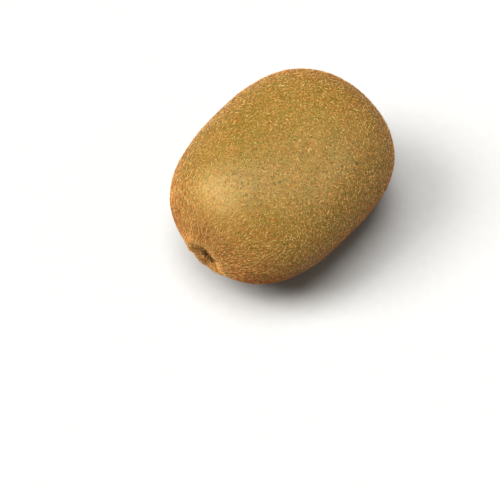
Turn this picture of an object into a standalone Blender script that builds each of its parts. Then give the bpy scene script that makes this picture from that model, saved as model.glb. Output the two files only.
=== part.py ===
# Whole kiwi fruit, lying on its side
# Metres, +Z up. The long axis runs along X: stalk end at +X, flower end at -X.
# The origin is on the surface that the fruit rests on, under the middle of its outline box.
# The fruit is shaped round its own centre first, and everything is set down on the surface at the end.

import math

import bmesh
import bpy
from mathutils import Vector

# Plain form of the fruit, before the ends are drawn in
FORM_LENGTH = 0.0686
FORM_WIDTH = 0.0543
FORM_HEIGHT = 0.0482
# 2 would be a plain ellipse seen from the side, and more is blunter at the ends
BLUNTNESS = 2.8
# Share by which the girth grows towards the stalk end
STALK_END_FULLNESS = 0.030
# Three shallow swells that keep the girth from being a true oval. They wind a little round the fruit.
SWELL = 0.0005
SWELL_COUNT = 3
SWELL_TWIST = 1.8
SWELL_START = -0.15
# Share by which the fruit is also flattened from one side to the other, turning along the axis
FLATTENING = 0.15
FLATTENING_TWIST = -2.2
# How much of the underside is pressed flat where the fruit rests
REST_FLAT_DEPTH = 0.00028

# Hollow at the flower end, with its swollen lip and the folds that run into it.
# Its middle lies a little to one side of the long axis and below it.
FLOWER_END_SIDE = -0.0006
FLOWER_END_UP = -0.0040
FLOWER_HOLLOW_DEPTH = 0.0030
FLOWER_HOLLOW_RADIUS = 0.0038
FLOWER_HOLLOW_STEEPNESS = 2.4
FLOWER_LIP_HEIGHT = 0.0009
FLOWER_LIP_RADIUS = 0.0068
FLOWER_LIP_WIDTH = 0.0026
FLOWER_FOLD_DEPTH = 0.0006
FLOWER_FOLD_RADIUS = 0.0055
FLOWER_FOLD_REACH = 0.0026
FLOWER_FOLD_COUNT = 8

# Basin at the stalk end, which holds the scar of the stalk
STALK_BASIN_DEPTH = 0.0020
STALK_BASIN_RADIUS = 0.0060
STALK_BASIN_STEEPNESS = 4
STALK_LIP_HEIGHT = 0.0004
STALK_LIP_RADIUS = 0.0088
STALK_LIP_WIDTH = 0.0028
STALK_FOLD_DEPTH = 0.0003
STALK_FOLD_RADIUS = 0.0085
STALK_FOLD_REACH = 0.0028
STALK_FOLD_COUNT = 6

# Corky scar of the stalk: a button with two raised rings round a sunken middle
SCAR_RADIUS = 0.0037
SCAR_THICKNESS = 0.0012
SCAR_RING_HEIGHT = 0.00035
SCAR_EDGE_ROUNDING = 0.00015
# Lean of the scar's face, in metres along the axis for each metre up
SCAR_TILT = 0.05
SCAR_CLEARANCE = 0.0004

# Dried styles of the flower: a knobbly seat with thin threads that curl outwards
STYLE_COUNT = 14
STYLE_LENGTH = 0.0017
STYLE_RADIUS = 0.00032
STYLE_SPREAD = 0.0023
SEAT_RADIUS = 0.0017
SEAT_HEIGHT = 0.0010
SEAT_CLEARANCE = 0.00035

# Fineness of the meshes
SKIN_RINGS = 44
SKIN_SECTORS = 72
# Share by which the rings crowd towards both ends, where the relief is
RING_CROWDING = 0.22
SCAR_SECTORS = 36
SEAT_RINGS = 8
SEAT_SECTORS = 14
THREAD_POINTS = 6
MERGE_DISTANCE = 0.00001
SHARP_ANGLE = math.radians(50)

HALF_LENGTH = FORM_LENGTH / 2
HALF_WIDTH = FORM_WIDTH / 2
HALF_HEIGHT = FORM_HEIGHT / 2


def clear_scene():
    for obj in list(bpy.data.objects):
        bpy.data.objects.remove(obj, do_unlink=True)


def new_collection(name):
    collection = bpy.data.collections.new(name)
    bpy.context.scene.collection.children.link(collection)
    return collection


def plain_material(name, colour, roughness):
    """A dull surface with no metal in it."""
    material = bpy.data.materials.new(name)
    material.use_nodes = True
    shader = material.node_tree.nodes["Principled BSDF"]
    shader.inputs["Base Color"].default_value = (*colour, 1.0)
    shader.inputs["Roughness"].default_value = roughness
    shader.inputs["Metallic"].default_value = 0.0
    material.diffuse_color = (*colour, 1.0)
    return material


def new_object(name, mesh, material, collection):
    obj = bpy.data.objects.new(name, mesh)
    mesh.materials.clear()
    mesh.materials.append(material)
    mesh.shade_smooth()
    mesh.set_sharp_from_angle(angle=SHARP_ANGLE)
    collection.objects.link(obj)
    return obj


def bell(distance, width, steepness=2):
    """1 in the middle, falling smoothly to 0 past the width."""
    return math.exp(-abs(distance / width) ** steepness)


def fold_wave(turn, count):
    """Narrow valleys round the axis, unevenly spaced: 1 at the bottom of each, 0 between them."""
    phase = count * turn + 0.9 * math.sin(2 * turn) + 0.5 * math.sin(turn + 1.0)
    return (0.5 + 0.5 * math.cos(phase)) ** 3


def flower_end_sink(radius, turn):
    """How far the skin at the flower end lies inside the plain form, at a distance from the hollow's middle."""
    hollow = FLOWER_HOLLOW_DEPTH * bell(radius, FLOWER_HOLLOW_RADIUS, FLOWER_HOLLOW_STEEPNESS)
    uneven = 1 + 0.35 * math.sin(turn + 0.6) + 0.2 * math.sin(3 * turn)
    lip = FLOWER_LIP_HEIGHT * uneven * bell(radius - FLOWER_LIP_RADIUS, FLOWER_LIP_WIDTH)
    folds = FLOWER_FOLD_DEPTH * fold_wave(turn, FLOWER_FOLD_COUNT)
    folds *= bell(radius - FLOWER_FOLD_RADIUS, FLOWER_FOLD_REACH)
    return hollow - lip + folds


def stalk_end_sink(radius, turn):
    """The same for the stalk end, whose basin has a nearly level floor under the scar."""
    basin = STALK_BASIN_DEPTH * bell(radius, STALK_BASIN_RADIUS, STALK_BASIN_STEEPNESS)
    uneven = 1 + 0.3 * math.sin(2 * turn)
    lip = STALK_LIP_HEIGHT * uneven * bell(radius - STALK_LIP_RADIUS, STALK_LIP_WIDTH)
    folds = STALK_FOLD_DEPTH * fold_wave(turn + 0.4, STALK_FOLD_COUNT)
    folds *= bell(radius - STALK_FOLD_RADIUS, STALK_FOLD_REACH)
    return basin - lip + folds


def skin_point(polar, turn):
    """A point of the skin from the fruit's centre. Polar runs from the stalk end, turn goes round the axis."""
    along = math.cos(polar)
    side = math.sin(polar) * math.cos(turn)
    up = math.sin(polar) * math.sin(turn)
    across = math.hypot(side / HALF_WIDTH, up / HALF_HEIGHT)
    reach = (abs(along / HALF_LENGTH) ** BLUNTNESS + across ** BLUNTNESS) ** (-1 / BLUNTNESS)
    x = along * reach
    fullness = 1 + STALK_END_FULLNESS * x / HALF_LENGTH
    lobes = math.sin(SWELL_COUNT * turn + SWELL_TWIST * along + SWELL_START)
    flattening = FLATTENING * math.cos(2 * turn + FLATTENING_TWIST * along)
    swell = SWELL * math.sin(polar) ** 2 * (lobes + flattening)
    y = side * reach * fullness + swell * math.cos(turn)
    z = up * reach * fullness + swell * math.sin(turn)
    if x > 0:
        x -= stalk_end_sink(math.hypot(y, z), turn)
    else:
        from_side = y - FLOWER_END_SIDE
        from_up = z - FLOWER_END_UP
        x += flower_end_sink(math.hypot(from_side, from_up), math.atan2(from_up, from_side))
    return Vector((x, y, z))


def crowded(polar):
    """Brings evenly spaced rings closer together at both ends."""
    return polar - RING_CROWDING * math.sin(2 * polar)


def press_flat(bm, floor):
    """Cuts the underside off at the height of the floor and closes it with a level face."""
    geometry = bm.verts[:] + bm.edges[:] + bm.faces[:]
    cut = bmesh.ops.bisect_plane(
        bm,
        geom=geometry,
        dist=MERGE_DISTANCE,
        plane_co=(0, 0, floor),
        plane_no=(0, 0, -1),
        clear_outer=True,
    )
    rim = [item for item in cut["geom_cut"] if isinstance(item, bmesh.types.BMEdge)]
    bmesh.ops.holes_fill(bm, edges=rim, sides=0)


def make_fruit(material, collection):
    """The flesh and skin, which grew as one body."""
    bm = bmesh.new()
    bmesh.ops.create_uvsphere(bm, u_segments=SKIN_SECTORS, v_segments=SKIN_RINGS, radius=1.0)
    for vert in bm.verts:
        polar = math.acos(max(-1.0, min(1.0, vert.co.z)))
        turn = math.atan2(vert.co.y, vert.co.x)
        vert.co = skin_point(crowded(polar), turn)
    floor = min(vert.co.z for vert in bm.verts) + REST_FLAT_DEPTH
    press_flat(bm, floor)
    bmesh.ops.triangulate(bm, faces=bm.faces[:])
    bmesh.ops.recalc_face_normals(bm, faces=bm.faces[:])
    mesh = bpy.data.meshes.new("fruit")
    bm.to_mesh(mesh)
    bm.free()
    return new_object("fruit", mesh, material, collection)


def mesh_of(obj):
    """The object's shape as a plain mesh, with its modifiers and its place worked in."""
    depsgraph = bpy.context.evaluated_depsgraph_get()
    evaluated = obj.evaluated_get(depsgraph)
    mesh = bpy.data.meshes.new_from_object(evaluated)
    mesh.transform(evaluated.matrix_world)
    return mesh


def make_stalk_scar(material, collection):
    """A turned button with two raised rings, worn out of round, seated in the stalk end's basin."""
    seat = skin_point(0.0, 0.0).x + SCAR_CLEARANCE
    face = seat + SCAR_THICKNESS
    ring = SCAR_RING_HEIGHT
    # Distance from the axis as a share of the button's radius, and height along the axis
    profile = [
        (0.00, face - 2.0 * ring),
        (0.16, face - 1.2 * ring),
        (0.27, face - 1.9 * ring),
        (0.42, face - 0.2 * ring),
        (0.52, face),
        (0.62, face - 1.1 * ring),
        (0.70, face - 1.4 * ring),
        (0.82, face - 0.2 * ring),
        (0.92, face - 0.4 * ring),
        (1.00, face - 0.45 * SCAR_THICKNESS),
        (0.93, seat + SCAR_EDGE_ROUNDING),
        (0.80, seat),
        (0.00, seat),
    ]
    bm = bmesh.new()
    verts = [bm.verts.new((share * SCAR_RADIUS, 0.0, height)) for share, height in profile]
    for start, end in zip(verts, verts[1:]):
        bm.edges.new((start, end))
    outline = bpy.data.meshes.new("scar_profile")
    bm.to_mesh(outline)
    bm.free()
    turned = bpy.data.objects.new("scar_turned", outline)
    collection.objects.link(turned)
    screw = turned.modifiers.new("turn", "SCREW")
    screw.axis = "Z"
    screw.steps = SCAR_SECTORS
    screw.render_steps = SCAR_SECTORS
    screw.use_merge_vertices = True
    screw.merge_threshold = MERGE_DISTANCE
    mesh = mesh_of(turned)
    bpy.data.objects.remove(turned)
    for vert in mesh.vertices:
        height = vert.co.z
        turn = math.atan2(vert.co.y, vert.co.x)
        out_of_round = 1 + 0.05 * math.sin(2 * turn + 0.8) + 0.015 * math.sin(3 * turn)
        raised = (height - seat) / SCAR_THICKNESS
        tilt = SCAR_TILT * raised * vert.co.y
        y = vert.co.x * out_of_round
        z = vert.co.y * out_of_round
        vert.co = Vector((height + tilt, y, z))
    mesh.update()
    return new_object("stalk_scar", mesh, material, collection)


def style_points(index, seat_centre):
    """Points along one dried style, from inside the seat out to its curled tip."""
    golden_turn = math.pi * (3 - math.sqrt(5))
    turn = index * golden_turn
    share = math.sqrt((index + 0.5) / STYLE_COUNT)
    root_radius = 0.62 * SEAT_RADIUS * share
    length = STYLE_LENGTH * (1.0 - 0.25 * share + 0.12 * math.sin(5.0 * index))
    points = []
    for step in range(THREAD_POINTS):
        t = step / (THREAD_POINTS - 1)
        radius = root_radius + STYLE_SPREAD * share * t ** 1.7
        lean = turn + 0.5 * t * math.sin(2.3 * index)
        height = length * math.sin(0.5 * math.pi * t ** 0.8) - 0.25 * SEAT_HEIGHT
        points.append(
            Vector(
                (
                    seat_centre - height,
                    FLOWER_END_SIDE + radius * math.cos(lean),
                    FLOWER_END_UP + radius * math.sin(lean),
                )
            )
        )
    return points


def face_outwards(mesh):
    """Turns every face of a closed mesh to point out of it."""
    bm = bmesh.new()
    bm.from_mesh(mesh)
    bmesh.ops.remove_doubles(bm, verts=bm.verts[:], dist=MERGE_DISTANCE)
    bmesh.ops.recalc_face_normals(bm, faces=bm.faces[:])
    bm.to_mesh(mesh)
    bm.free()


def make_thread(name, points, collection):
    """A thin tapering tube through the points, closed at both ends."""
    curve = bpy.data.curves.new(name, "CURVE")
    curve.dimensions = "3D"
    curve.bevel_depth = STYLE_RADIUS
    curve.bevel_resolution = 1
    curve.use_fill_caps = True
    spline = curve.splines.new("POLY")
    spline.points.add(len(points) - 1)
    for step, (knot, point) in enumerate(zip(spline.points, points)):
        knot.co = (*point, 1.0)
        knot.radius = 1.0 - 0.5 * step / (len(points) - 1)
    tube = bpy.data.objects.new(name + "_curve", curve)
    collection.objects.link(tube)
    mesh = mesh_of(tube)
    bpy.data.objects.remove(tube)
    face_outwards(mesh)
    thread = bpy.data.objects.new(name, mesh)
    collection.objects.link(thread)
    return thread


def make_dried_styles(material, collection):
    """The withered remains of the flower, fused at their foot, in the flower end's hollow."""
    floor = -HALF_LENGTH + FLOWER_HOLLOW_DEPTH
    seat_centre = floor - SEAT_CLEARANCE - SEAT_HEIGHT
    bm = bmesh.new()
    bmesh.ops.create_uvsphere(bm, u_segments=SEAT_SECTORS, v_segments=SEAT_RINGS, radius=1.0)
    for vert in bm.verts:
        turn = math.atan2(vert.co.y, vert.co.x)
        knobs = 1 + 0.10 * math.sin(4 * turn + 3 * vert.co.z)
        vert.co = Vector(
            (
                seat_centre - SEAT_HEIGHT * vert.co.z,
                FLOWER_END_SIDE + SEAT_RADIUS * knobs * vert.co.x,
                FLOWER_END_UP - SEAT_RADIUS * knobs * vert.co.y,
            )
        )
    seat_mesh = bpy.data.meshes.new("dried_styles_seat")
    bm.to_mesh(seat_mesh)
    bm.free()
    face_outwards(seat_mesh)
    seat = bpy.data.objects.new("dried_styles_seat", seat_mesh)
    collection.objects.link(seat)
    threads = bpy.data.collections.new("threads")
    bpy.context.scene.collection.children.link(threads)
    for index in range(STYLE_COUNT):
        make_thread(f"style_{index}", style_points(index, seat_centre), threads)
    union = seat.modifiers.new("fuse", "BOOLEAN")
    union.operation = "UNION"
    union.operand_type = "COLLECTION"
    union.collection = threads
    union.solver = "MANIFOLD"
    mesh = mesh_of(seat)
    face_outwards(mesh)
    for obj in [seat] + list(threads.objects):
        bpy.data.objects.remove(obj)
    bpy.data.collections.remove(threads)
    return new_object("dried_styles", mesh, material, collection)


def set_down(parts):
    """Moves every part together, so that the outline box of them all stands on the origin."""
    corners = [vert.co for part in parts for vert in part.data.vertices]
    low = [min(corner[axis] for corner in corners) for axis in range(3)]
    high = [max(corner[axis] for corner in corners) for axis in range(3)]
    shift = Vector((-(low[0] + high[0]) / 2, -(low[1] + high[1]) / 2, -low[2]))
    for part in parts:
        for vert in part.data.vertices:
            vert.co += shift
        part.data.update()


def main():
    clear_scene()
    collection = new_collection("kiwi_fruit")
    skin = plain_material("skin", (0.33, 0.21, 0.065), 0.75)
    cork = plain_material("stalk_cork", (0.20, 0.13, 0.07), 0.85)
    withered = plain_material("withered_styles", (0.07, 0.042, 0.022), 0.9)
    fruit = make_fruit(skin, collection)
    stalk_scar = make_stalk_scar(cork, collection)
    dried_styles = make_dried_styles(withered, collection)
    set_down([fruit, stalk_scar, dried_styles])


main()
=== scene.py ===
# %% [markdown]
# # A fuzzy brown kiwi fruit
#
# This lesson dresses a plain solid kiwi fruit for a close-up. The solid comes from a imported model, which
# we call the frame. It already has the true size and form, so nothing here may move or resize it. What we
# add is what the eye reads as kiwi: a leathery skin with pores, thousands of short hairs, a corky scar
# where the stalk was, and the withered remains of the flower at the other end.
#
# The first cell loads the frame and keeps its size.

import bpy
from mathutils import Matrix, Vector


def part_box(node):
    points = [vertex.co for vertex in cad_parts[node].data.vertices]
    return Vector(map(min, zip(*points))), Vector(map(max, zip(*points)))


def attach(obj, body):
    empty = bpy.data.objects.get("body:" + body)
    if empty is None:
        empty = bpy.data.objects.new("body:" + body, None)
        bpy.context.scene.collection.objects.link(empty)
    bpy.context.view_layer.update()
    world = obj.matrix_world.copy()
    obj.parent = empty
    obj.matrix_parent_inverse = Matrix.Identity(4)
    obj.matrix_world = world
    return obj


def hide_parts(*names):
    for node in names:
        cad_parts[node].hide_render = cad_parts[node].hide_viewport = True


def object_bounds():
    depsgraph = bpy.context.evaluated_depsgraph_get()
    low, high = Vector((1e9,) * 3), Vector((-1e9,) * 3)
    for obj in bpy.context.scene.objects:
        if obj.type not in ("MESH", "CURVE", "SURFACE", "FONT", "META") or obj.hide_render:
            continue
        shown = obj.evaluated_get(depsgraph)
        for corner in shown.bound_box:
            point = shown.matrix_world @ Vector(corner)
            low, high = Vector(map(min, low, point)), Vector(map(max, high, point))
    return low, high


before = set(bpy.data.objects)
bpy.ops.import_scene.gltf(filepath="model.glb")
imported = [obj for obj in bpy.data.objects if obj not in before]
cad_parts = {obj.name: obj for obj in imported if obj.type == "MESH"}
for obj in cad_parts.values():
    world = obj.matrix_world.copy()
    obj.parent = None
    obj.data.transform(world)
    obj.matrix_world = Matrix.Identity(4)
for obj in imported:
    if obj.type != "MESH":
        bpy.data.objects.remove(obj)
cad_low, cad_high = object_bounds()
print("solids:", sorted(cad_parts))
print("size in mm:", [round(side * 1000, 1) for side in cad_high - cad_low])

# %% [markdown]
# All lengths below are real sizes in metres. It is easier to think of a fruit in millimetres, so a small
# constant does the change of unit. Colours are easier to judge as the 0 to 255 values that a screen
# shows, but Blender's sockets want linear light, so a helper changes them over.

# %% Units and colours
import math

import bpy
import numpy as np
from mathutils import Vector, noise
from mathutils.bvhtree import BVHTree

MM = 0.001


def screen_colour(red, green, blue):
    """A colour as the screen shows it, 0 to 255, changed to the linear values that a shader works in."""
    shares = [value / 255 for value in (red, green, blue)]
    linear = [s / 12.92 if s <= 0.04045 else ((s + 0.055) / 1.055) ** 2.4 for s in shares]
    return (*linear, 1.0)


print("a mid tan in linear light:", [round(value, 3) for value in screen_colour(185, 144, 77)])

# %% [markdown]
# ## The form of the fruit
#
# The solid's form is a blunt oval, a little fuller at the stalk end, with a hollow at the flower end and
# a shallow basin at the stalk end. A fine skin could be made by subdividing the solid, but its facets
# would show as faint flats under a soft light. Instead the same formula that shaped the solid is worked
# out again here on a much finer grid. NumPy does all the points at once: `polar` runs from the stalk end
# to the flower end, and `turn` goes round the long axis.

# %% Shape formula of the skin
HALF_LENGTH, HALF_WIDTH, HALF_HEIGHT = 34.3 * MM, 27.15 * MM, 24.1 * MM
BLUNTNESS = 2.8
STALK_END_FULLNESS = 0.030
SWELL, SWELL_COUNT, SWELL_TWIST, SWELL_START = 0.5 * MM, 3, 1.8, -0.15
FLATTENING, FLATTENING_TWIST = 0.15, -2.2
FLOWER_END_SIDE, FLOWER_END_UP = -0.6 * MM, -4.0 * MM
HOLLOW_DEPTH, HOLLOW_RADIUS = 3.0 * MM, 3.8 * MM
FLOWER_LIP, FLOWER_LIP_RADIUS, FLOWER_LIP_WIDTH = 0.9 * MM, 6.8 * MM, 2.6 * MM
FLOWER_FOLDS, FLOWER_FOLD, FLOWER_FOLD_RADIUS = 8, 0.6 * MM, 5.5 * MM
BASIN_DEPTH, BASIN_RADIUS = 2.0 * MM, 6.0 * MM
STALK_LIP, STALK_LIP_RADIUS, STALK_LIP_WIDTH = 0.4 * MM, 8.8 * MM, 2.8 * MM
STALK_FOLDS, STALK_FOLD, STALK_FOLD_RADIUS = 6, 0.3 * MM, 8.5 * MM


def bell(distance, width, steepness=2):
    """1 in the middle, falling smoothly to 0 past the width."""
    return np.exp(-np.abs(distance / width) ** steepness)


def fold_wave(turn, count):
    """Narrow valleys round the axis, unevenly spaced."""
    phase = count * turn + 0.9 * np.sin(2 * turn) + 0.5 * np.sin(turn + 1.0)
    return (0.5 + 0.5 * np.cos(phase)) ** 3


def flower_end_sink(radius, turn):
    """How far the skin lies inside the plain oval round the flower end's hollow."""
    hollow = HOLLOW_DEPTH * bell(radius, HOLLOW_RADIUS, 2.4)
    uneven = 1 + 0.35 * np.sin(turn + 0.6) + 0.2 * np.sin(3 * turn)
    lip = FLOWER_LIP * uneven * bell(radius - FLOWER_LIP_RADIUS, FLOWER_LIP_WIDTH)
    folded = bell(radius - FLOWER_FOLD_RADIUS, FLOWER_LIP_WIDTH)
    folds = FLOWER_FOLD * fold_wave(turn, FLOWER_FOLDS) * folded
    return hollow - lip + folds


def stalk_end_sink(radius, turn):
    """The same for the basin at the stalk end."""
    basin = BASIN_DEPTH * bell(radius, BASIN_RADIUS, 4)
    uneven = 1 + 0.3 * np.sin(2 * turn)
    lip = STALK_LIP * uneven * bell(radius - STALK_LIP_RADIUS, STALK_LIP_WIDTH)
    folded = bell(radius - STALK_FOLD_RADIUS, STALK_LIP_WIDTH)
    folds = STALK_FOLD * fold_wave(turn + 0.4, STALK_FOLDS) * folded
    return basin - lip + folds


def skin_points(polar, turn):
    """Points of the skin, measured from the fruit's own middle."""
    along = np.cos(polar)
    side = np.sin(polar) * np.cos(turn)
    up = np.sin(polar) * np.sin(turn)
    across = np.hypot(side / HALF_WIDTH, up / HALF_HEIGHT)
    reach = (np.abs(along / HALF_LENGTH) ** BLUNTNESS + across ** BLUNTNESS) ** (-1 / BLUNTNESS)
    x = along * reach
    fullness = 1 + STALK_END_FULLNESS * x / HALF_LENGTH
    lobes = np.sin(SWELL_COUNT * turn + SWELL_TWIST * along + SWELL_START)
    flattening = FLATTENING * np.cos(2 * turn + FLATTENING_TWIST * along)
    swell = SWELL * np.sin(polar) ** 2 * (lobes + flattening)
    y = side * reach * fullness + swell * np.cos(turn)
    z = up * reach * fullness + swell * np.sin(turn)
    from_side, from_up = y - FLOWER_END_SIDE, z - FLOWER_END_UP
    at_stalk = stalk_end_sink(np.hypot(y, z), turn)
    at_flower = flower_end_sink(np.hypot(from_side, from_up), np.arctan2(from_up, from_side))
    x = x + np.where(x > 0, -at_stalk, at_flower)
    return np.stack([x, y, z], axis=-1)


# %% [markdown]
# ## Laying the skin's grid
#
# The grid is a row of rings from one end to the other, like the lines of latitude on a globe, and a
# single point closes it at each end. Rings crowd towards the ends, because the folds there are finer than
# anything on the flanks. The first helper turns any such grid into triangles, with a flat map of it laid
# alongside. The second makes a Blender mesh of points and triangles, much faster than adding faces one at
# a time.

# %% Grid and mesh helpers
def closed_grid(rows, first, last):
    """Triangles of a grid of rings, closed by one point at each end: points, faces and a map."""
    rings, sectors = rows.shape[:2]
    points = np.vstack([rows.reshape(-1, 3), first, last])
    ring, sector = [part.ravel() for part in np.mgrid[0 : rings - 1, 0:sectors]]
    ends = np.arange(sectors)

    def corner(at_ring, at_sector):
        index = at_ring * sectors + at_sector % sectors
        place = np.stack([at_sector / sectors, (at_ring + 0.5) / rings], axis=-1)
        return index, place

    def tip(index, height):
        return np.full(sectors, index), np.stack([(ends + 0.5) / sectors, np.full(sectors, height)], -1)

    start, beside = corner(ring, sector), corner(ring, sector + 1)
    below, across = corner(ring + 1, sector), corner(ring + 1, sector + 1)
    last_ring = np.full(sectors, rings - 1)
    first_fan = [tip(rings * sectors, 0.0), corner(0 * ends, ends), corner(0 * ends, ends + 1)]
    last_fan = [tip(rings * sectors + 1, 1.0), corner(last_ring, ends + 1), corner(last_ring, ends)]
    groups = [[start, across, beside], [start, below, across], first_fan, last_fan]
    faces = np.vstack([np.stack([index for index, _ in group], axis=1) for group in groups])
    places = np.vstack([np.stack([place for _, place in group], axis=1) for group in groups])
    return points, faces, places


def make_mesh(name, points, faces, places):
    """A smooth-shaded mesh of triangles, with its map under the name that a bake looks for."""
    mesh = bpy.data.meshes.new(name)
    mesh.vertices.add(len(points))
    mesh.vertices.foreach_set("co", points.astype(np.float32).ravel())
    mesh.loops.add(faces.size)
    mesh.loops.foreach_set("vertex_index", faces.astype(np.int32).ravel())
    mesh.polygons.add(len(faces))
    mesh.polygons.foreach_set("loop_start", np.arange(0, faces.size, 3, dtype=np.int32))
    mesh.uv_layers.new(name="OFBake").data.foreach_set("uv", places.astype(np.float32).ravel())
    mesh.update(calc_edges=True)
    mesh.shade_smooth()
    return mesh


def add_piece(name, mesh, material):
    """Puts a mesh in the scene as a piece that rides on the fruit's only body."""
    mesh.materials.append(material)
    piece = bpy.data.objects.new(name, mesh)
    bpy.context.scene.collection.objects.link(piece)
    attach(piece, "root")
    print(f"{name}: {len(mesh.polygons)} triangles")
    return piece


# %% [markdown]
# ## Fine relief
#
# A real skin is not polished. It has wide soft dents from growing against leaves and other fruit, a fine
# pebbling, and wrinkles that run into both ends. A texture could only shade these. Moving the points
# makes the outline and the shadows true as well, and the exported mesh keeps them. The moves are about a
# tenth of a millimetre, so the fruit keeps its size.
#
# The last lines set the finished skin down in the place of the solid. The highest corner of the solid's
# box tells how far to move, and what would lie under the floor is pressed flat, as it is on the solid.

# %% Skin points with their relief
RINGS, SECTORS = 210, 400
RING_CROWDING = 0.24
DENT_SIZE, DENT_DEPTH = 8.0 * MM, 0.10 * MM
PEBBLE_SIZE, PEBBLE_DEPTH = 1.6 * MM, 0.035 * MM
WRINKLE_COUNT, WRINKLE_DEPTH, WRINKLE_REACH = 34, 0.10 * MM, 6.0 * MM
WANDER_SIZE, WANDER = 5.0 * MM, 5.0


def noise_at(points, size, seed):
    """Smooth noise from -1 to 1 at each point, in lumps of about the given size."""
    shift = Vector((17.3 * seed, -9.1 * seed, 5.7 * seed))
    return np.array([noise.noise(Vector(point) / size + shift) for point in points])


share = (np.arange(RINGS) + 0.5) / RINGS
rings = share * math.pi - RING_CROWDING * np.sin(2 * math.pi * share)
polar_grid, turn_grid = np.meshgrid(rings, np.arange(SECTORS) / SECTORS * 2 * math.pi, indexing="ij")
skin_rows = skin_points(polar_grid, turn_grid)
flat_points = skin_rows.reshape(-1, 3)
outward = flat_points / np.linalg.norm(flat_points, axis=1, keepdims=True)
near_end = bell(HALF_LENGTH - np.abs(flat_points[:, 0]), WRINKLE_REACH)
wander = noise_at(flat_points, WANDER_SIZE, 1)
wrinkles = np.sin(WRINKLE_COUNT * turn_grid.ravel() + WANDER * wander) * near_end
relief = DENT_DEPTH * noise_at(flat_points, DENT_SIZE, 2)
relief += PEBBLE_DEPTH * noise_at(flat_points, PEBBLE_SIZE, 3)
relief += WRINKLE_DEPTH * wrinkles * (0.5 + 0.5 * wander)
skin_rows = (flat_points + relief[:, None] * outward).reshape(skin_rows.shape)
end_points = skin_points(np.array([0.0, math.pi]), np.zeros(2))
fruit_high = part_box("fruit")[1]
set_down = np.array(fruit_high) - skin_points(polar_grid, turn_grid).reshape(-1, 3).max(axis=0)
skin_vertices, skin_faces, skin_places = closed_grid(skin_rows, end_points[0], end_points[1])
skin_vertices = skin_vertices + set_down
skin_vertices[:, 2] = np.maximum(skin_vertices[:, 2], 0.0)
print("moved by, in mm:", (set_down / MM).round(2), "relief in mm:", (relief.min() / MM).round(3))

# %% [markdown]
# ## The camera
#
# The fruit lies flat, and the camera looks down on it from beyond the flower end, so the long axis runs
# from the lower left of the picture to the upper right. A long lens from half a metre keeps the form free
# of stretching. The camera aims a little below and to the left of the fruit, which puts the fruit above
# the middle of the picture with no lens shift.
#
# The direction back to the camera is built from two angles, as on a compass and a protractor. The same
# arithmetic gives the picture's own right and up directions, which the lights will use as well.

# %% Camera
CAMERA_AZIMUTH, CAMERA_ELEVATION = math.radians(-50.0), math.radians(55)
CAMERA_DISTANCE = 500 * MM
CAMERA_LENS, SENSOR_WIDTH, CAMERA_NEAREST = 119.8, 36, 0.01
PICTURE_SIZE = 500
AIM_RIGHT, AIM_UP = -8.5 * MM, -21.9 * MM

middle = (cad_low + cad_high) / 2
level = math.cos(CAMERA_ELEVATION)
to_camera = Vector((math.sin(CAMERA_AZIMUTH) * level, -math.cos(CAMERA_AZIMUTH) * level, 0))
to_camera.z = math.sin(CAMERA_ELEVATION)
picture_right = Vector((math.cos(CAMERA_AZIMUTH), math.sin(CAMERA_AZIMUTH), 0))
picture_up = to_camera.cross(picture_right)
camera_data = bpy.data.cameras.new("camera")
camera_data.lens = CAMERA_LENS
camera_data.sensor_width = SENSOR_WIDTH
camera_data.clip_start = CAMERA_NEAREST
camera = bpy.data.objects.new("camera", camera_data)
bpy.context.scene.collection.objects.link(camera)
camera.location = middle + to_camera * CAMERA_DISTANCE
aim = middle + picture_right * AIM_RIGHT + picture_up * AIM_UP
camera.rotation_euler = (camera.location - aim).to_track_quat("Z", "Y").to_euler()
bpy.context.scene.camera = camera
print("camera at, in mm:", [round(value / MM) for value in camera.location])

# %% [markdown]
# ## Helpers for materials
#
# Every finish here is a small network of nodes that works out colour, roughness and bump from the place
# on the surface. Writing each node in full takes many lines, so one helper adds a node and fills its
# sockets, either with a value or with a link from another node. More helpers stand for the moves that
# come up again and again, such as mixing two colours, fading from 0 to 1 between two limits, reading the
# place in millimetres, and measuring how far it is from a spot.

# %% Material helpers
def new_material(name, roughness, shine):
    material = bpy.data.materials.new(name)
    material.use_nodes = True
    shader = material.node_tree.nodes["Principled BSDF"]
    shader.inputs["Roughness"].default_value = roughness
    shader.inputs["Specular IOR Level"].default_value = shine
    return material, material.node_tree, shader


def add_node(tree, kind, inputs, **settings):
    """Adds a node. Inputs go by socket name or number, and are values or another node's output."""
    made = tree.nodes.new("ShaderNode" + kind)
    for setting, value in settings.items():
        setattr(made, setting, value)
    for socket, value in inputs.items():
        if isinstance(value, bpy.types.NodeSocket):
            tree.links.new(value, made.inputs[socket])
        else:
            made.inputs[socket].default_value = value
    return made


def mixed(tree, share, first, second):
    """The first colour where share is 0, the second where it is 1."""
    return add_node(tree, "Mix", {0: share, 6: first, 7: second}, data_type="RGBA").outputs[2]


def fade(tree, value, low, high):
    """0 at the low limit, 1 at the high one, smooth between. Swapped limits give a falling fade."""
    inputs = {0: value, 1: low, 2: high, 3: 0.0, 4: 1.0}
    return add_node(tree, "MapRange", inputs, interpolation_type="SMOOTHSTEP").outputs[0]


def product(tree, first, second):
    return add_node(tree, "Math", {0: first, 1: second}, operation="MULTIPLY").outputs[0]


def place_in_mm(tree):
    """The place on the fruit in millimetres, which stays put whatever the camera does."""
    place = add_node(tree, "TexCoord", {}).outputs["Object"]
    return add_node(tree, "VectorMath", {0: place, 3: 1 / MM}, operation="SCALE").outputs[0]


def distance_to(tree, place, spot):
    """Distance from a spot. Both places are in millimetres."""
    return add_node(tree, "VectorMath", {0: place, 1: tuple(spot)}, operation="DISTANCE").outputs[1]


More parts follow.
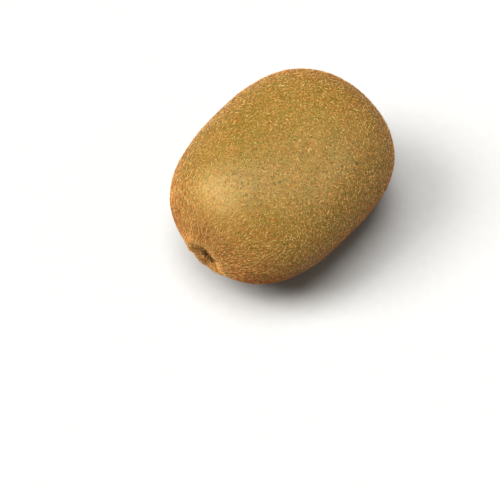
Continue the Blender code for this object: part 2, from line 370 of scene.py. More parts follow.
def noise_value(tree, place, size, detail=2.0):
    """Soft noise from 0 to 1 with lumps of about the given size in millimetres."""
    inputs = {"Vector": place, "Scale": 1 / size, "Detail": detail, "Roughness": 0.55}
    return add_node(tree, "TexNoise", inputs).outputs[0]


def ramp_of(tree, value, tones):
    """Runs from colour to colour. tones is a list of places from 0 to 1 with a colour for each."""
    ramp = add_node(tree, "ValToRGB", {0: value})
    elements = ramp.color_ramp.elements
    while len(elements) < len(tones):
        elements.new(0.5)
    for element, (at, colour) in zip(elements, tones):
        element.position = at
        element.color = colour
    return ramp.outputs[0]


def dot_distance(tree, place, spacing):
    """Distance to the nearest of many scattered dots, as a share of their spacing."""
    inputs = {"Vector": place, "Scale": 1 / spacing, "Randomness": 1.0}
    return add_node(tree, "TexVoronoi", inputs).outputs["Distance"]


def bumped(tree, shader, height, depth):
    """Tilts the light on the surface as if it rose by the depth, in metres, where height is 1."""
    bump = add_node(tree, "Bump", {"Height": height, "Distance": depth, "Strength": 1.0})
    tree.links.new(bump.outputs[0], shader.inputs["Normal"])


print("helpers ready")

# %% [markdown]
# ## The skin
#
# Under the hairs the skin is olive green and tan in soft blotches, dotted with dark pores and with
# specks of rust where a hair has come off. It turns browner towards both ends. Low down it is darkened
# as painted shade, and the flower end's hollow is darkest, also painted shade. The shoulder near that
# end is paler, a painted highlight. This painted highlight and a few small bruises are put where the
# camera sees them, by shooting a ray from it through a pixel. Painting all that by hand would take an
# image. Noise and scattered dots in the fruit's own space need none, have no seams, and keep their true
# size in millimetres from any side.
# The skin is waxy, with a broad soft gloss, so its roughness is middling. The pores are dull, which the
# roughness says too. The shine itself is set low, or a pale floor would show in it as grey between the
# hairs.

# %% Skin material
OLIVE, TAN = screen_colour(127, 108, 34), screen_colour(142, 112, 42)
# END_BROWN is the skin's own browner colour at both ends. HOLLOW_SHADE_BROWN is painted shade in the
# flower end's hollow.
END_BROWN, HOLLOW_SHADE_BROWN = screen_colour(126, 90, 30), screen_colour(80, 52, 20)
# Painted shade: low down on the fruit the skin is darkened towards this brown.
UNDER_SHADE_BROWN = screen_colour(84, 60, 20)
RUST, PORE = screen_colour(192, 104, 46), screen_colour(60, 38, 12)
# A painted highlight: the skin is lightened towards this tan round the spot seen at a pixel.
HIGHLIGHT_TAN, HIGHLIGHT_PIXEL = screen_colour(182, 150, 74), (214, 195)
SKIN_SHINE = 0.18
SKIN_ROUGHNESS, PORE_ROUGHNESS = 0.5, 0.95
BUMP_SIZE, BUMP_DEPTH = 0.45, 0.06 * MM

# Sizes and limits in millimetres, and how strongly each colour shows, from 0 to 1
BLOTCH_SIZE, MOTTLE_SIZE, MOTTLE_STRENGTH = 6.0, 1.1, 0.45
RUST_SPACING, RUST_RADIUS, RUST_STRENGTH = 0.84, 0.25, 0.75
PORE_SPACING, PORE_RADIUS, PORE_STRENGTH = 0.72, 0.34, 0.85
HIGHLIGHT_FROM, HIGHLIGHT_TO, HIGHLIGHT_STRENGTH = 13.0, 3.0, 0.35
BROWN_FROM, BROWN_TO, BROWN_STRENGTH = 28.0, 36.0, 0.75
HOLLOW_EDGE, HOLLOW_DEEP = 6.2, 2.6
# Heights where the painted shade low down starts and is full, its strength, and where it fades out round
# the hollow
UNDER_FROM, UNDER_TO, UNDER_SHADE_STRENGTH = 34.0, 12.0, 0.8
UNDER_NEAR, UNDER_FAR = 8.0, 15.0

flower_middle = set_down + end_points[1] + np.array([0, FLOWER_END_SIDE, FLOWER_END_UP])

# Pixel across and down in the 500 x 500 picture, radius in millimetres, and how strongly it shows
BRUISE = screen_colour(80, 62, 34)
MARKS = [
    (234, 173, 1.3, 0.45), (241, 188.5, 0.45, 0.9), (254, 189, 0.4, 0.8), (279.6, 182, 0.45, 0.9),
    (356.8, 163, 1.0, 0.95), (341.5, 166, 0.8, 0.9), (346.6, 170, 0.6, 0.95), (355, 169.6, 0.8, 0.9),
    (373, 174, 0.5, 0.6), (353, 127, 0.5, 0.6), (386, 141.6, 0.6, 0.6),
]


def place_on_skin(across, down):
    """The spot of the skin that the camera sees at a pixel."""
    turned = camera.rotation_euler.to_matrix()
    focal = CAMERA_LENS / camera_data.sensor_width * PICTURE_SIZE
    ray = Vector((across - PICTURE_SIZE / 2, PICTURE_SIZE / 2 - down, -focal))
    return skin_tree.ray_cast(camera.location, (turned @ ray).normalized())[0]


def make_skin_material():
    material, tree, shader = new_material("kiwi_skin", SKIN_ROUGHNESS, SKIN_SHINE)
    place = place_in_mm(tree)
    blotch = noise_value(tree, place, BLOTCH_SIZE)
    mottle = noise_value(tree, place, MOTTLE_SIZE)
    colour = mixed(tree, fade(tree, blotch, 0.35, 0.65), OLIVE, TAN)
    mottling = product(tree, fade(tree, mottle, 0.40, 0.70), MOTTLE_STRENGTH)
    colour = mixed(tree, mottling, colour, TAN)
    # Painted highlight: a paler patch round the spot on the shoulder.
    from_highlight = distance_to(tree, place, highlight_place / MM)
    painted_highlight = product(tree, fade(tree, from_highlight, HIGHLIGHT_FROM, HIGHLIGHT_TO), HIGHLIGHT_STRENGTH)
    colour = mixed(tree, painted_highlight, colour, HIGHLIGHT_TAN)
    axes = add_node(tree, "SeparateXYZ", {0: place}).outputs
    off_middle = add_node(tree, "Math", {0: axes[0]}, operation="ABSOLUTE").outputs[0]
    browning = product(tree, fade(tree, off_middle, BROWN_FROM, BROWN_TO), BROWN_STRENGTH)
    colour = mixed(tree, browning, colour, END_BROWN)
    from_hollow = distance_to(tree, place, flower_middle / MM)
    # Painted shade: darker low down, fading out near the hollow.
    low_shade = fade(tree, axes[2], UNDER_FROM, UNDER_TO)
    under = product(tree, low_shade, fade(tree, from_hollow, UNDER_NEAR, UNDER_FAR))
    colour = mixed(tree, product(tree, under, UNDER_SHADE_STRENGTH), colour, UNDER_SHADE_BROWN)
    rust = fade(tree, dot_distance(tree, place, RUST_SPACING), RUST_RADIUS, 0.5 * RUST_RADIUS)
    colour = mixed(tree, product(tree, rust, RUST_STRENGTH), colour, RUST)
    pores = fade(tree, dot_distance(tree, place, PORE_SPACING), PORE_RADIUS, 0.5 * PORE_RADIUS)
    colour = mixed(tree, product(tree, pores, PORE_STRENGTH), colour, PORE)
    dulled = add_node(tree, "MapRange", {0: pores, 3: SKIN_ROUGHNESS, 4: PORE_ROUGHNESS}).outputs[0]
    tree.links.new(dulled, shader.inputs["Roughness"])
    # Painted shade: darkest in the flower end's hollow.
    colour = mixed(tree, fade(tree, from_hollow, HOLLOW_EDGE, HOLLOW_DEEP), colour, HOLLOW_SHADE_BROWN)
    for across, down, radius, strength in MARKS:
        away = distance_to(tree, place, place_on_skin(across, down) / MM)
        mark = product(tree, fade(tree, away, radius, 0.3 * radius), strength)
        colour = mixed(tree, mark, colour, BRUISE)
    tree.links.new(colour, shader.inputs["Base Color"])
    bumped(tree, shader, noise_value(tree, place, BUMP_SIZE, 3.0), BUMP_DEPTH)
    return material


skin_tree = BVHTree.FromPolygons(skin_vertices.tolist(), skin_faces.tolist())
highlight_place = np.array(place_on_skin(*HIGHLIGHT_PIXEL))
skin_mesh = make_mesh("skin", skin_vertices, skin_faces, skin_places)
skin = add_piece("skin", skin_mesh, make_skin_material())
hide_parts("fruit")

# %% [markdown]
# ## Hairs as thin tubes
#
# Blender has a hair system, but its strands are drawn by the renderer and would be missing from an
# exported mesh. So each hair here is a real thing: a tube with three sides that narrows to a point, its
# root sunk in the skin. One function makes thousands at a time. It takes the points along every tube,
# finds the way each one runs, and sets a small ring of corners round each point.
#
# The map of each hair is a narrow strip: across stands for the hair's own tone, and up runs from root to
# tip. A material can then give every hair its own colour, and a darker root, from one small map.

# %% Tube helper
STRIP_WIDTH = 0.02


def unit(vectors):
    return vectors / np.maximum(np.linalg.norm(vectors, axis=-1, keepdims=True), 1e-12)


def tubes(paths, radii, across, tones, sides):
    """Closed tapering tubes. paths is tubes x knots x 3 and radii is tubes x knots."""
    count, knots = radii.shape
    ahead = unit(np.gradient(paths, axis=1))
    first = unit(across[:, None] - np.sum(across[:, None] * ahead, -1, keepdims=True) * ahead)
    second = np.cross(ahead, first)
    angles = np.arange(sides) / sides * 2 * math.pi
    spokes = first[:, :, None] * np.cos(angles)[:, None] + second[:, :, None] * np.sin(angles)[:, None]
    rings = paths[:, :-1, None] + spokes[:, :-1] * radii[:, :-1, None, None]
    points = np.concatenate([rings.reshape(count, -1, 3), paths[:, -1:]], axis=1)
    ring, side = [part.ravel() for part in np.mgrid[0 : knots - 2, 0:sides]]
    here, beside = ring * sides + side, ring * sides + (side + 1) % sides
    last = (knots - 2) * sides
    turn = np.arange(sides)
    tip = np.stack([last + turn, last + (turn + 1) % sides, np.full(sides, last + sides)], axis=1)
    walls = [np.stack([here, beside, beside + sides], axis=1),
             np.stack([here, beside + sides, here + sides], axis=1)]
    root = np.stack([np.zeros(sides - 2, int), turn[2:], turn[1:-1]], axis=1)
    one = np.vstack([*walls, tip, root])
    faces = (one + np.arange(count)[:, None, None] * points.shape[1]).reshape(-1, 3)
    height = np.append(np.repeat(np.arange(knots - 1), sides), knots - 1) / (knots - 1)
    strip = np.append(np.tile(turn, knots - 1), 0) / sides * STRIP_WIDTH
    places = np.stack([tones[:, None] + strip, np.broadcast_to(height, (count, len(height)))], axis=-1)
    return points.reshape(-1, 3), faces, places.reshape(-1, 2)[faces]


print("each hair tone takes", STRIP_WIDTH, "of the map's width")

# %% [markdown]
# ## Where the hairs stand and how they lie
#
# Hairs grow from all of the skin, thickest at both ends. Roots thrown down fully at random would leave
# clumps and bald spots, which a real coat has fewer of. So the skin's triangles are put in a row, the row
# is cut into as many equal stretches as there are hairs, and each stretch gets one root at a random
# place.
#
# Near the ends the hairs lie along the fruit and point into the end. In the middle they were rubbed every
# way. Each one leaves the skin at a low angle and bows back to it, which keeps the outline of the coat
# close to the skin. Only the fuzz round the stalk's scar stands up. No hairs grow on the flat spot, and
# none may pass under the floor.

# %% Roots and paths of the hairs
ROOT_DEPTH = 0.05 * MM
FLOOR_GAP = 0.10 * MM
HAIR_KNOTS = 4
HAIR_SIDES = 3
LYING_BOW, STANDING_BOW = 0.75, 0.2
COMBED_FROM, COMBED_TO = 10 * MM, 27 * MM
STRAY_MIDDLE, STRAY_ENDS = math.pi, 0.5

normal_values = np.empty(len(skin_vertices) * 3, dtype=np.float32)
skin_mesh.vertex_normals.foreach_get("vector", normal_values)
skin_normals = normal_values.reshape(-1, 3)
triangle_corners = skin_vertices[skin_faces]
triangle_middles = triangle_corners.mean(axis=1)
edges = triangle_corners[:, 1:] - triangle_corners[:, :1]
triangle_areas = np.linalg.norm(np.cross(edges[:, 0], edges[:, 1]), axis=1) / 2
stalk_middle = set_down + end_points[0]


def distance_from_axis(places, end_middle):
    return np.linalg.norm(places[:, 1:] - end_middle[1:], axis=1)


def scatter(count, density, random):
    """Roots spread by area and density: their places and the skin's outward direction there."""
    chance = triangle_areas * density * (triangle_middles[:, 2] > FLOOR_GAP)
    steps = (np.arange(count) + random.random(count)) / count
    chosen = np.searchsorted(np.cumsum(chance), steps * chance.sum())
    shares = random.dirichlet((1, 1, 1), count)
    places = np.einsum("ij,ijk->ik", shares, triangle_corners[chosen])
    outwards = unit(np.einsum("ij,ijk->ik", shares, skin_normals[skin_faces[chosen]]))
    return places, outwards


def hair_ways(places, outwards, random):
    """The way each hair lies: into the nearer end close to it, and every way in the middle."""
    goals = np.where(places[:, :1] < 0, flower_middle, stalk_middle)
    inward = goals - places
    inward = unit(inward - np.sum(inward * outwards, axis=1, keepdims=True) * outwards)
    sideways = np.cross(outwards, inward)
    combed = np.clip((np.abs(places[:, 0]) - COMBED_FROM) / (COMBED_TO - COMBED_FROM), 0, 1)
    stray = STRAY_MIDDLE + (STRAY_ENDS - STRAY_MIDDLE) * combed
    turns = stray * random.uniform(-1, 1, len(places))
    return inward * np.cos(turns)[:, None] + sideways * np.sin(turns)[:, None]


def hair_paths(places, outwards, ways, lengths, lifts, bow, curls):
    """Points along each hair, from sunk root to tip. At a bow of 1 the tip is back on the skin."""
    along = np.linspace(0, 1, HAIR_KNOTS)[:, None]
    sideways = np.cross(outwards, ways)[:, None]
    run = ways[:, None] * (np.cos(lifts)[:, None, None] * along)
    rise = outwards[:, None] * (np.sin(lifts)[:, None, None] * along * (1 - bow * along))
    curl = sideways * (curls[:, None, None] * along**2)
    sunk = (places - ROOT_DEPTH * outwards)[:, None]
    paths = sunk + (run + rise + curl) * lengths[:, None, None]
    paths[..., 2] = np.maximum(paths[..., 2], FLOOR_GAP)
    return paths


print("skin area in square mm:", (triangle_areas.sum() / MM**2).round())

# %% [markdown]
# ## Colours of the hairs
#
# Seen close, the hairs are not one brown. The long ones run from straw over golden and orange tan to
# brown, and their roots show as rust-red specks. The short down between them runs from orange tan to a
# dark brown that reads as shadow. The map from the tube helper holds both facts: across is the hair's own
# tone, which a colour ramp turns into one of these browns, and up is the height on the hair, which
# colours the root.

# %% Hair material
STRAW, GOLDEN = screen_colour(255, 222, 146), screen_colour(244, 192, 108)
ORANGE_TAN, RUST_HAIR = screen_colour(225, 147, 76), screen_colour(168, 96, 46)
ROOT_BROWN, DARK_BROWN = screen_colour(114, 78, 38), screen_colour(76, 52, 26)
ROOT_RUST = screen_colour(200, 108, 52)
HAIR_ROUGHNESS, HAIR_SHINE, ROOT_HEIGHT = 0.55, 0.04, 0.45


def make_hair_material(name, tones, root_colour, root_share):
    material, tree, shader = new_material(name, HAIR_ROUGHNESS, HAIR_SHINE)
    strip = add_node(tree, "UVMap", {}, uv_map="OFBake").outputs[0]
    on_strip = add_node(tree, "SeparateXYZ", {0: strip}).outputs
    root = product(tree, fade(tree, on_strip[1], ROOT_HEIGHT, 0.0), root_share)
    colour = mixed(tree, root, ramp_of(tree, on_strip[0], tones), root_colour)
    tree.links.new(colour, shader.inputs["Base Color"])
    return material


coat_tones = [(0.0, STRAW), (0.38, GOLDEN), (0.72, ORANGE_TAN), (0.88, RUST_HAIR), (1.0, ROOT_BROWN)]
hair_material = make_hair_material("hair_golden", coat_tones, ROOT_RUST, 0.7)
down_tones = [(0.0, ORANGE_TAN), (0.35, RUST_HAIR), (0.7, ROOT_BROWN), (1.0, DARK_BROWN)]
down_material = make_hair_material("hair_down", down_tones, ROOT_BROWN, 0.3)
tuft_tones = [(0.0, STRAW), (0.4, GOLDEN), (0.75, ORANGE_TAN), (1.0, ROOT_BROWN)]
tuft_material = make_hair_material("hair_tufts", tuft_tones, ROOT_BROWN, 0.7)

# %% [markdown]
# ## The coat
#
# The coat is made in layers, as it grows. Hairs of about a millimetre are what the eye picks out.
# Between them stands a short down, and at each end a dense tuft closes over the edge of the hollow. Low
# down on the fruit the tones are pushed towards the brown end of the ramp, a painted shade as on the
# skin. Round the skin's painted highlight they are pushed the other way, a painted highlight too.
#
# Each layer is cut into three pieces along the fruit, which keeps every mesh at a size that other
# programs can still open. The cuts are made where the same number of hairs falls in each third, so that
# the same count can grow on each and no step in the coat shows.

# %% Grow the layers of hair
TONE_SPAN = 1 - STRIP_WIDTH
# Painted shade and painted highlight on the hairs: tones pushed to brown low down, to straw round the
# spot.
UNDER_SHADE_TONE = 0.8
HIGHLIGHT_TONE, HIGHLIGHT_SIZE = 0.4, 8 * MM
SHORTNESS = 1.6  # above 1, more of the hairs are short than long
MOST_CURL = 0.22
TAPER = np.array([1.0, 1.0, 0.75, 0.0])


def under_shade_share(places):
    """Painted shade on a hair: 0 on the upper half and round the hollow, 1 low down, as on the skin."""
    low = np.interp(-places[:, 2] / MM, (-UNDER_FROM, -UNDER_TO), (0, 1))
    away = np.linalg.norm(places - flower_middle, axis=1) / MM
    return low * np.interp(away, (UNDER_NEAR, UNDER_FAR), (0, 1))


def grow(name, count, density, lengths, radii, lifts, bow, material, seed):
    """One layer of hair as a piece. lengths, radii and lifts each give a lowest and a highest value."""
    random = np.random.default_rng(seed)
    places, outwards = scatter(count, density, random)
    ways = hair_ways(places, outwards, random)
    spread = random.random((4, count))
    length = lengths[0] + (lengths[1] - lengths[0]) * spread[0] ** SHORTNESS
    radius = radii[0] + (radii[1] - radii[0]) * spread[1]
    lift = np.radians(lifts[0] + (lifts[1] - lifts[0]) * spread[2])
    curl = random.uniform(-MOST_CURL, MOST_CURL, count)
    paths = hair_paths(places, outwards, ways, length, lift, bow, curl)
    # Painted shade low down, then painted highlight round the spot, as on the skin.
    tones = spread[3] + (1 - spread[3]) * UNDER_SHADE_TONE * under_shade_share(places)
    tones *= 1 - HIGHLIGHT_TONE * bell(np.linalg.norm(places - highlight_place, axis=1), HIGHLIGHT_SIZE)
    shapes = tubes(paths, radius[:, None] * TAPER, outwards, tones * TONE_SPAN, HAIR_SIDES)
    piece = add_piece(name, make_mesh(name, *shapes), material)
    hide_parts("fruit")
    return piece


THIRD_COUNT = 12000
END_THICKENING, END_STEEPNESS = 1.3, 4
# Lengths and radii in metres, lifts from the skin in degrees, material, and first random seed
LAYERS = {
    "long_hairs": ((0.7 * MM, 1.6 * MM), (0.045 * MM, 0.08 * MM), (10, 32), hair_material, 11),
    "down": ((0.4 * MM, 0.9 * MM), (0.04 * MM, 0.07 * MM), (15, 45), down_material, 21),
}
x_share = np.abs(triangle_middles[:, 0]) / HALF_LENGTH
end_density = 1 + END_THICKENING * x_share**END_STEEPNESS
along_fruit = np.argsort(triangle_middles[:, 0])
passed = np.cumsum((triangle_areas * end_density)[along_fruit])
thirds = np.empty(len(passed), int)
thirds[along_fruit] = np.minimum(3 * passed / passed[-1], 2)
for third, part in enumerate(("flower_third", "middle_third", "stalk_third")):
    density = end_density * (thirds == third)
    for layer, (lengths, radii, lifts, material, seed) in LAYERS.items():
        grow(f"{layer}_{part}", THIRD_COUNT, density, lengths, radii, lifts, LYING_BOW, material,
             seed + third)

TUFT_COUNT, TUFT_THINNING, TUFT_SEED = 2600, 0.8, 30
TUFT_LENGTHS, TUFT_RADII = (1.0 * MM, 2.1 * MM), (0.05 * MM, 0.08 * MM)
# Middle, inner and outer radius, side of the fruit, lifts in degrees, and bow
tufts = {
    "flower": (flower_middle, 3.0 * MM, 8.5 * MM, -1, (12, 42), LYING_BOW),
    "stalk": (stalk_middle, 3.7 * MM, 8.0 * MM, 1, (25, 60), STANDING_BOW),
}
for end, (end_middle, inner, outer, side, lifts, bow) in tufts.items():
    reach = distance_from_axis(triangle_middles, end_middle)
    on_lip = (reach > inner) * (reach < outer) * (triangle_middles[:, 0] * side > 0)
    density = on_lip * (1 - (reach - inner) / (outer - inner) * TUFT_THINNING)
    grow(f"tuft_{end}_end", TUFT_COUNT, density, TUFT_LENGTHS, TUFT_RADII, lifts, bow, tuft_material,
         TUFT_SEED + side)

# %% [markdown]
# ## The withered flower
#
# In the hollow sit the remains of the flower: a dark knobbly seat with dozens of dry threads that curl
# outwards. The seat is a small grid of rings like the skin, roughened with noise. The threads are tubes
# like the hairs, thicker and with more sides and knots, so that they can twist.

# %% Seat and threads of the withered flower
SEAT_RADIUS, SEAT_HEIGHT, SEAT_CLEARANCE = 1.7 * MM, 1.0 * MM, 0.35 * MM
SEAT_ROWS, SEAT_SECTORS, SEAT_OPENING = 50, 90, 0.05
THREAD_COUNT, THREAD_KNOTS, THREAD_SIDES = 30, 9, 7
THREAD_LENGTH, THREAD_RADIUS, THREAD_SPREAD = 1.8 * MM, 0.20 * MM, 2.3 * MM

seat_x = -HALF_LENGTH + HOLLOW_DEPTH - SEAT_CLEARANCE - SEAT_HEIGHT
seat_middle = set_down + np.array([seat_x, FLOWER_END_SIDE, FLOWER_END_UP])


def make_seat():
    """A low knobbly dome, closed on both sides."""
    down = np.linspace(SEAT_OPENING, math.pi - SEAT_OPENING, SEAT_ROWS)
    round_axis = np.arange(SEAT_SECTORS) * math.pi / (SEAT_SECTORS / 2)
    polar, turn = np.meshgrid(down, round_axis, indexing="ij")
    reach = np.sin(polar)
    rows = np.stack([-SEAT_HEIGHT * np.cos(polar), SEAT_RADIUS * reach * np.cos(turn),
                     -SEAT_RADIUS * reach * np.sin(turn)], axis=-1)
    flat = rows.reshape(-1, 3)
    knobs = 1 + 0.16 * noise_at(flat, 0.7 * MM, 5) + 0.10 * noise_at(flat, 0.3 * MM, 6)
    rows = (flat * knobs[:, None]).reshape(rows.shape)
    ends = np.array([[-SEAT_HEIGHT, 0, 0], [SEAT_HEIGHT, 0, 0]])
    return closed_grid(rows + seat_middle, ends[0] + seat_middle, ends[1] + seat_middle)


def make_threads():
    random = np.random.default_rng(41)
    index = np.arange(THREAD_COUNT)
    golden_turn = math.pi * (3 - math.sqrt(5))
    out = np.sqrt((index + 0.5) / THREAD_COUNT)
    t = np.linspace(0, 1, THREAD_KNOTS)
    radius = (0.62 * SEAT_RADIUS * out)[:, None] + (THREAD_SPREAD * out)[:, None] * t**1.7
    lean = (index * golden_turn)[:, None] + random.uniform(-0.8, 0.8, (THREAD_COUNT, 1)) * t
    length = THREAD_LENGTH * random.uniform(0.65, 1.05, (THREAD_COUNT, 1))
    height = length * np.sin(0.5 * math.pi * t**0.8) - 0.25 * SEAT_HEIGHT
    twist = random.uniform(0, 2 * math.pi, (THREAD_COUNT, 1)) + 5 * t
    wobble = 0.12 * MM * t
    paths = np.stack([-height, radius * np.cos(lean) + wobble * np.cos(twist),
                      radius * np.sin(lean) + wobble * np.sin(twist)], axis=-1) + seat_middle
    girth = THREAD_RADIUS * (1 - 0.5 * t) * random.uniform(0.7, 1.1, (THREAD_COUNT, 1))
    girth = girth * (1 + 0.15 * np.sin(9 * t + twist))
    girth[:, -1] = 0
    across = np.tile([0.2, 1.0, 0.3], (THREAD_COUNT, 1))
    return tubes(paths, girth, across, random.random(THREAD_COUNT) * TONE_SPAN, THREAD_SIDES)


SEAT_DARK, SEAT_BROWN = screen_colour(54, 37, 18), screen_colour(112, 80, 40)


def make_withered_material():
    material, tree, shader = new_material("withered_brown", roughness=0.8, shine=0.1)
    place = place_in_mm(tree)
    lumps = noise_value(tree, place, 0.5, 3.0)
    colour = mixed(tree, fade(tree, lumps, 0.35, 0.65), SEAT_DARK, SEAT_BROWN)
    tree.links.new(colour, shader.inputs["Base Color"])
    bumped(tree, shader, noise_value(tree, place, 0.15, 3.0), 0.05 * MM)
    return material


THREAD_DARK, THREAD_BROWN, THREAD_TAN = [
    screen_colour(*tone) for tone in ((56, 37, 16), (102, 71, 34), (158, 116, 62))
]
thread_tones = [(0.0, THREAD_DARK), (0.6, THREAD_BROWN), (1.0, THREAD_TAN)]
seat = add_piece("withered_seat", make_mesh("withered_seat", *make_seat()), make_withered_material())
thread_material = make_hair_material("withered_threads", thread_tones, ROOT_BROWN, 0.5)
threads = add_piece("withered_threads", make_mesh("withered_threads", *make_threads()), thread_material)
for piece in (seat, threads):
    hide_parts("dried_styles")

# %% [markdown]
# ## The scar of the stalk
#
# At the far end the stalk broke off and left a corky button: a cracked outer ring with a gap in it, an
# oval ridge inside, and a fibrous middle. It is turned like wood on a lathe from a profile, as the solid
# is, but with many more rows. Then the gap and the cracks are cut out of the turned face, noise roughens
# it, and noise that is drawn out one way makes the fibres.
#
# The colour follows the shape: low places are darkened as painted shade, and high ones are tan on the
# inner ridge and grey-brown on the outer ring. Reading the height keeps the two in step wherever the ring
# is broken or uneven.

# %% Turn the scar
SCAR_RADIUS, SCAR_THICKNESS, SCAR_RING = 3.7 * MM, 1.2 * MM, 0.42 * MM
SCAR_CLEARANCE, SCAR_TILT = 0.4 * MM, 0.05
SCAR_ROWS, SCAR_SECTORS = 130, 240
OUTER_RING, INNER_RIDGE = 0.86, 0.54
GAP_DEPTH, CRACK_DEPTH, LOW_SIDE_DEPTH = 0.45 * MM, 0.26 * MM, 0.40 * MM
FIBRE_WIDTH, FIBRE_HEIGHT, FIBRE_SLANT, FIBRE_REACH = 0.19 * MM, 0.6 * MM, 0.7, 1.7 * MM

scar_base = end_points[0][0] + SCAR_CLEARANCE
scar_face = scar_base + SCAR_THICKNESS


def scar_relief(share, turn):
    """What is cut from the turned face: the gap, the cracks and the uneven height of the rings."""
    gap = GAP_DEPTH * bell(share - OUTER_RING, 0.12) * bell(np.sin((turn - 0.9) / 2), 0.26)
    cracks = CRACK_DEPTH * fold_wave(turn + 0.8 * share, 8) * bell(share - OUTER_RING, 0.2)
    wavering = 0.5 + 0.5 * np.sin(turn + 2.2 + 0.8 * np.sin(3 * turn))
    low_side = LOW_SIDE_DEPTH * wavering * bell(share - INNER_RIDGE, 0.1)
    return gap + cracks + low_side


def make_scar():
    ring = SCAR_RING
    profile = np.array([
        (0.00, scar_face - 1.5 * ring), (0.44, scar_face - 1.7 * ring), (0.51, scar_face + 0.1 * ring),
        (0.57, scar_face), (0.64, scar_face - 1.2 * ring), (0.72, scar_face - 1.5 * ring),
        (0.80, scar_face - 0.5 * ring), (0.92, scar_face - 0.5 * ring),
        (1.00, scar_face - 0.5 * SCAR_THICKNESS), (0.93, scar_base + 0.15 * MM), (0.80, scar_base),
        (0.00, scar_base),
    ])
    steps = np.linalg.norm(np.diff(profile * [SCAR_RADIUS, 1], axis=0), axis=1)
    walked = np.append(0, np.cumsum(steps))
    at = np.linspace(0.004, 0.996, SCAR_ROWS) * walked[-1]
    share, height = [np.interp(at, walked, profile[:, part])[:, None] for part in (0, 1)]
    turn = np.arange(SCAR_SECTORS) / SCAR_SECTORS * 2 * math.pi
    uneven = 0.05 * np.sin(2 * turn + 0.8) + 0.025 * np.sin(5 * turn + 1.0) + 0.015 * np.sin(11 * turn)
    oval = 0.15 * np.cos(2 * turn - 1.2) * bell(share - 0.45, 0.35)
    radius = SCAR_RADIUS * share * (1 + uneven + oval)
    on_face = (at < 0.55 * walked[-1])[:, None]
    x = height - on_face * scar_relief(share, turn)
    rows = np.stack([x, radius * np.cos(turn), radius * np.sin(turn)], axis=-1)
    flat = rows.reshape(-1, 3)
    rough = 0.16 * MM * noise_at(flat, 0.8 * MM, 7) + 0.12 * MM * noise_at(flat, 0.3 * MM, 8)
    slant, reach = math.sin(FIBRE_SLANT), math.cos(FIBRE_SLANT)
    across, along = flat[:, 1] * reach + flat[:, 2] * slant, flat[:, 2] * reach - flat[:, 1] * slant
    drawn_out = np.stack([0 * along, across, 0.2 * along], axis=1)
    fibrous = bell(np.hypot(across, along), FIBRE_REACH, 8)
    fibres = FIBRE_HEIGHT * noise_at(drawn_out, FIBRE_WIDTH, 9) * fibrous
    flat[:, 0] += (rough + fibres) * on_face.repeat(SCAR_SECTORS, axis=1).ravel()
    flat[:, 0] += SCAR_TILT * (flat[:, 0] - scar_base) / SCAR_THICKNESS * flat[:, 1]
    rows = flat.reshape(rows.shape) + set_down
    first = np.array([rows[0, :, 0].mean(), set_down[1], set_down[2]])
    last = np.array([rows[-1, :, 0].mean(), set_down[1], set_down[2]])
    return closed_grid(rows, first, last)


# CORK_DARK_AND_SHADE is the cork's own dark in patches and grain, and also painted shade in the low
# places.
CORK_DARK_AND_SHADE = screen_colour(74, 48, 20)
CORK_GREY, CORK_TAN = screen_colour(168, 126, 74), screen_colour(208, 156, 86)
GROOVE, RIDGE = 0.85, 0.0
TAN_INSIDE, GREY_OUTSIDE = 2.3, 2.8


def make_cork_material():
    material, tree, shader = new_material("stalk_cork", roughness=0.85, shine=0.1)
    place = place_in_mm(tree)
    along = add_node(tree, "SeparateXYZ", {0: place}).outputs[0]
    top = (set_down[0] + scar_face) / MM
    raised = fade(tree, along, top - GROOVE, top - RIDGE)
    from_axis = distance_to(tree, place, (top, set_down[1] / MM, set_down[2] / MM))
    patches = noise_value(tree, place, 0.7, 3.0)
    ridges = mixed(tree, fade(tree, from_axis, TAN_INSIDE, GREY_OUTSIDE), CORK_TAN, CORK_GREY)
    ridges = mixed(tree, product(tree, fade(tree, patches, 0.38, 0.66), 0.6), ridges, CORK_DARK_AND_SHADE)
    # Painted shade: the low places take the dark cork colour.
    colour = mixed(tree, raised, CORK_DARK_AND_SHADE, ridges)
    grain = noise_value(tree, place, 0.22, 3.0)
    colour = mixed(tree, product(tree, fade(tree, grain, 0.55, 0.35), 0.5), colour, CORK_DARK_AND_SHADE)
    tree.links.new(colour, shader.inputs["Base Color"])
    bumped(tree, shader, grain, 0.10 * MM)
    return material


scar = add_piece("stalk_scar_cork", make_mesh("stalk_scar_cork", *make_scar()), make_cork_material())
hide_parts("stalk_scar")

# %% [markdown]
# ## Floor and light
#
# The fruit lies on plain pale paper. A broad soft lamp shines from the left of the picture, a second one
# from overhead, and a weak one from the right keeps the far flank from going black. They are sun lamps
# with a wide angle: as soft as a large softbox, but just as bright all over the floor, so that the paper
# has no dark rim in any view. Round them is a pale studio, bright low down where its walls stand and dim
# above, which leaves the shading to the lamps.
#
# The waxy gloss on the skin is warm, and stronger than these lamps give. Three more lamps that do not
# light the fruit at all, but only show in its gloss, put it there with little effect on the rest. A
# lamp's direction is given as on a compass and a protractor, as the camera's is.

# %% Floor, lamps and surroundings
FLOOR_SIZE = 8.0
FLOOR_DROP = 0.3 * MM
PAPER_DARK, PAPER_LIGHT = screen_colour(208, 208, 207), screen_colour(216, 216, 215)
WALL_BRIGHTNESS, CEILING_BRIGHTNESS = 1.0, 0.05
WALL_TOP = 0.22
PLAIN_LIGHT, GOLDEN_LIGHT = (1.0, 0.995, 0.985), (1.0, 0.85, 0.48)

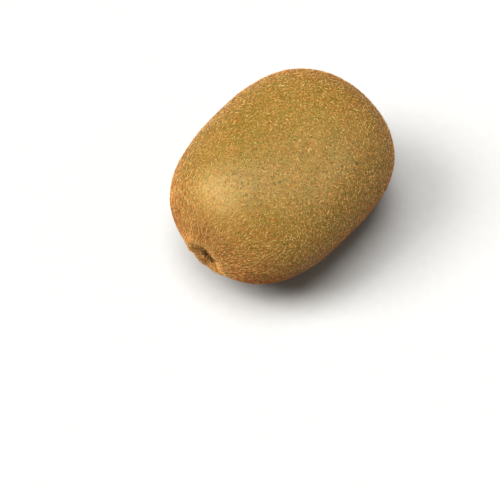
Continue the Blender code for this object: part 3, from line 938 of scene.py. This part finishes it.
bpy.ops.mesh.primitive_plane_add(size=FLOOR_SIZE, location=(0, 0, -FLOOR_DROP))
floor = bpy.context.object
floor.name = "paper_floor"
paper, paper_tree, paper_shader = new_material("paper", roughness=0.9, shine=0.1)
paper_grain = noise_value(paper_tree, place_in_mm(paper_tree), 3.0, 4.0)
paper_colour = mixed(paper_tree, paper_grain, PAPER_DARK, PAPER_LIGHT)
paper_tree.links.new(paper_colour, paper_shader.inputs["Base Color"])
floor.data.materials.append(paper)


def add_lamp(name, azimuth, elevation, spread, strength, colour, gloss_only=False):
    """A far round lamp in a direction from the fruit. Angles are in degrees, spread is its width."""
    lamp_data = bpy.data.lights.new(name, "SUN")
    lamp_data.angle = math.radians(spread)
    lamp_data.energy = strength
    lamp_data.color = colour
    lamp = bpy.data.objects.new(name, lamp_data)
    lamp.visible_diffuse = not gloss_only
    bpy.context.scene.collection.objects.link(lamp)
    turn, rise = math.radians(azimuth), math.radians(elevation)
    level = math.cos(rise)
    direction = Vector((math.sin(turn) * level, -math.cos(turn) * level, math.sin(rise)))
    lamp.location = middle + direction
    lamp.rotation_euler = direction.to_track_quat("Z", "Y").to_euler()
    print(name, "strength:", strength)


# Azimuth, elevation and spread in degrees, and strength
LIGHTING_LAMPS = {
    "key_lamp": (232, 50, 30, 2.75), "top_lamp": (250, 84, 36, 2.5), "right_lamp": (30, 42, 20, 0.1),
}
GLOSS_LAMPS = {
    "left_gloss": (229, 38, 28, 11.0), "top_gloss": (0, 88, 28, 4.5), "right_gloss": (30, 42, 28, 6.5),
}
for lamp_name, settings in LIGHTING_LAMPS.items():
    add_lamp(lamp_name, *settings, PLAIN_LIGHT)
for lamp_name, settings in GLOSS_LAMPS.items():
    add_lamp(lamp_name, *settings, GOLDEN_LIGHT, gloss_only=True)
surround = bpy.data.worlds.new("pale_studio")
surround.use_nodes = True
surround_tree = surround.node_tree
direction = add_node(surround_tree, "TexCoord", {}).outputs["Generated"]
height = add_node(surround_tree, "SeparateXYZ", {0: direction}).outputs[2]
ceiling = fade(surround_tree, height, 0.0, WALL_TOP)
wall_grey, ceiling_grey = (WALL_BRIGHTNESS,) * 3 + (1.0,), (CEILING_BRIGHTNESS,) * 3 + (1.0,)
studio = mixed(surround_tree, ceiling, wall_grey, ceiling_grey)
surround_tree.links.new(studio, surround_tree.nodes["Background"].inputs["Color"])
bpy.context.scene.world = surround
bpy.context.scene.view_settings.view_transform = "Standard"
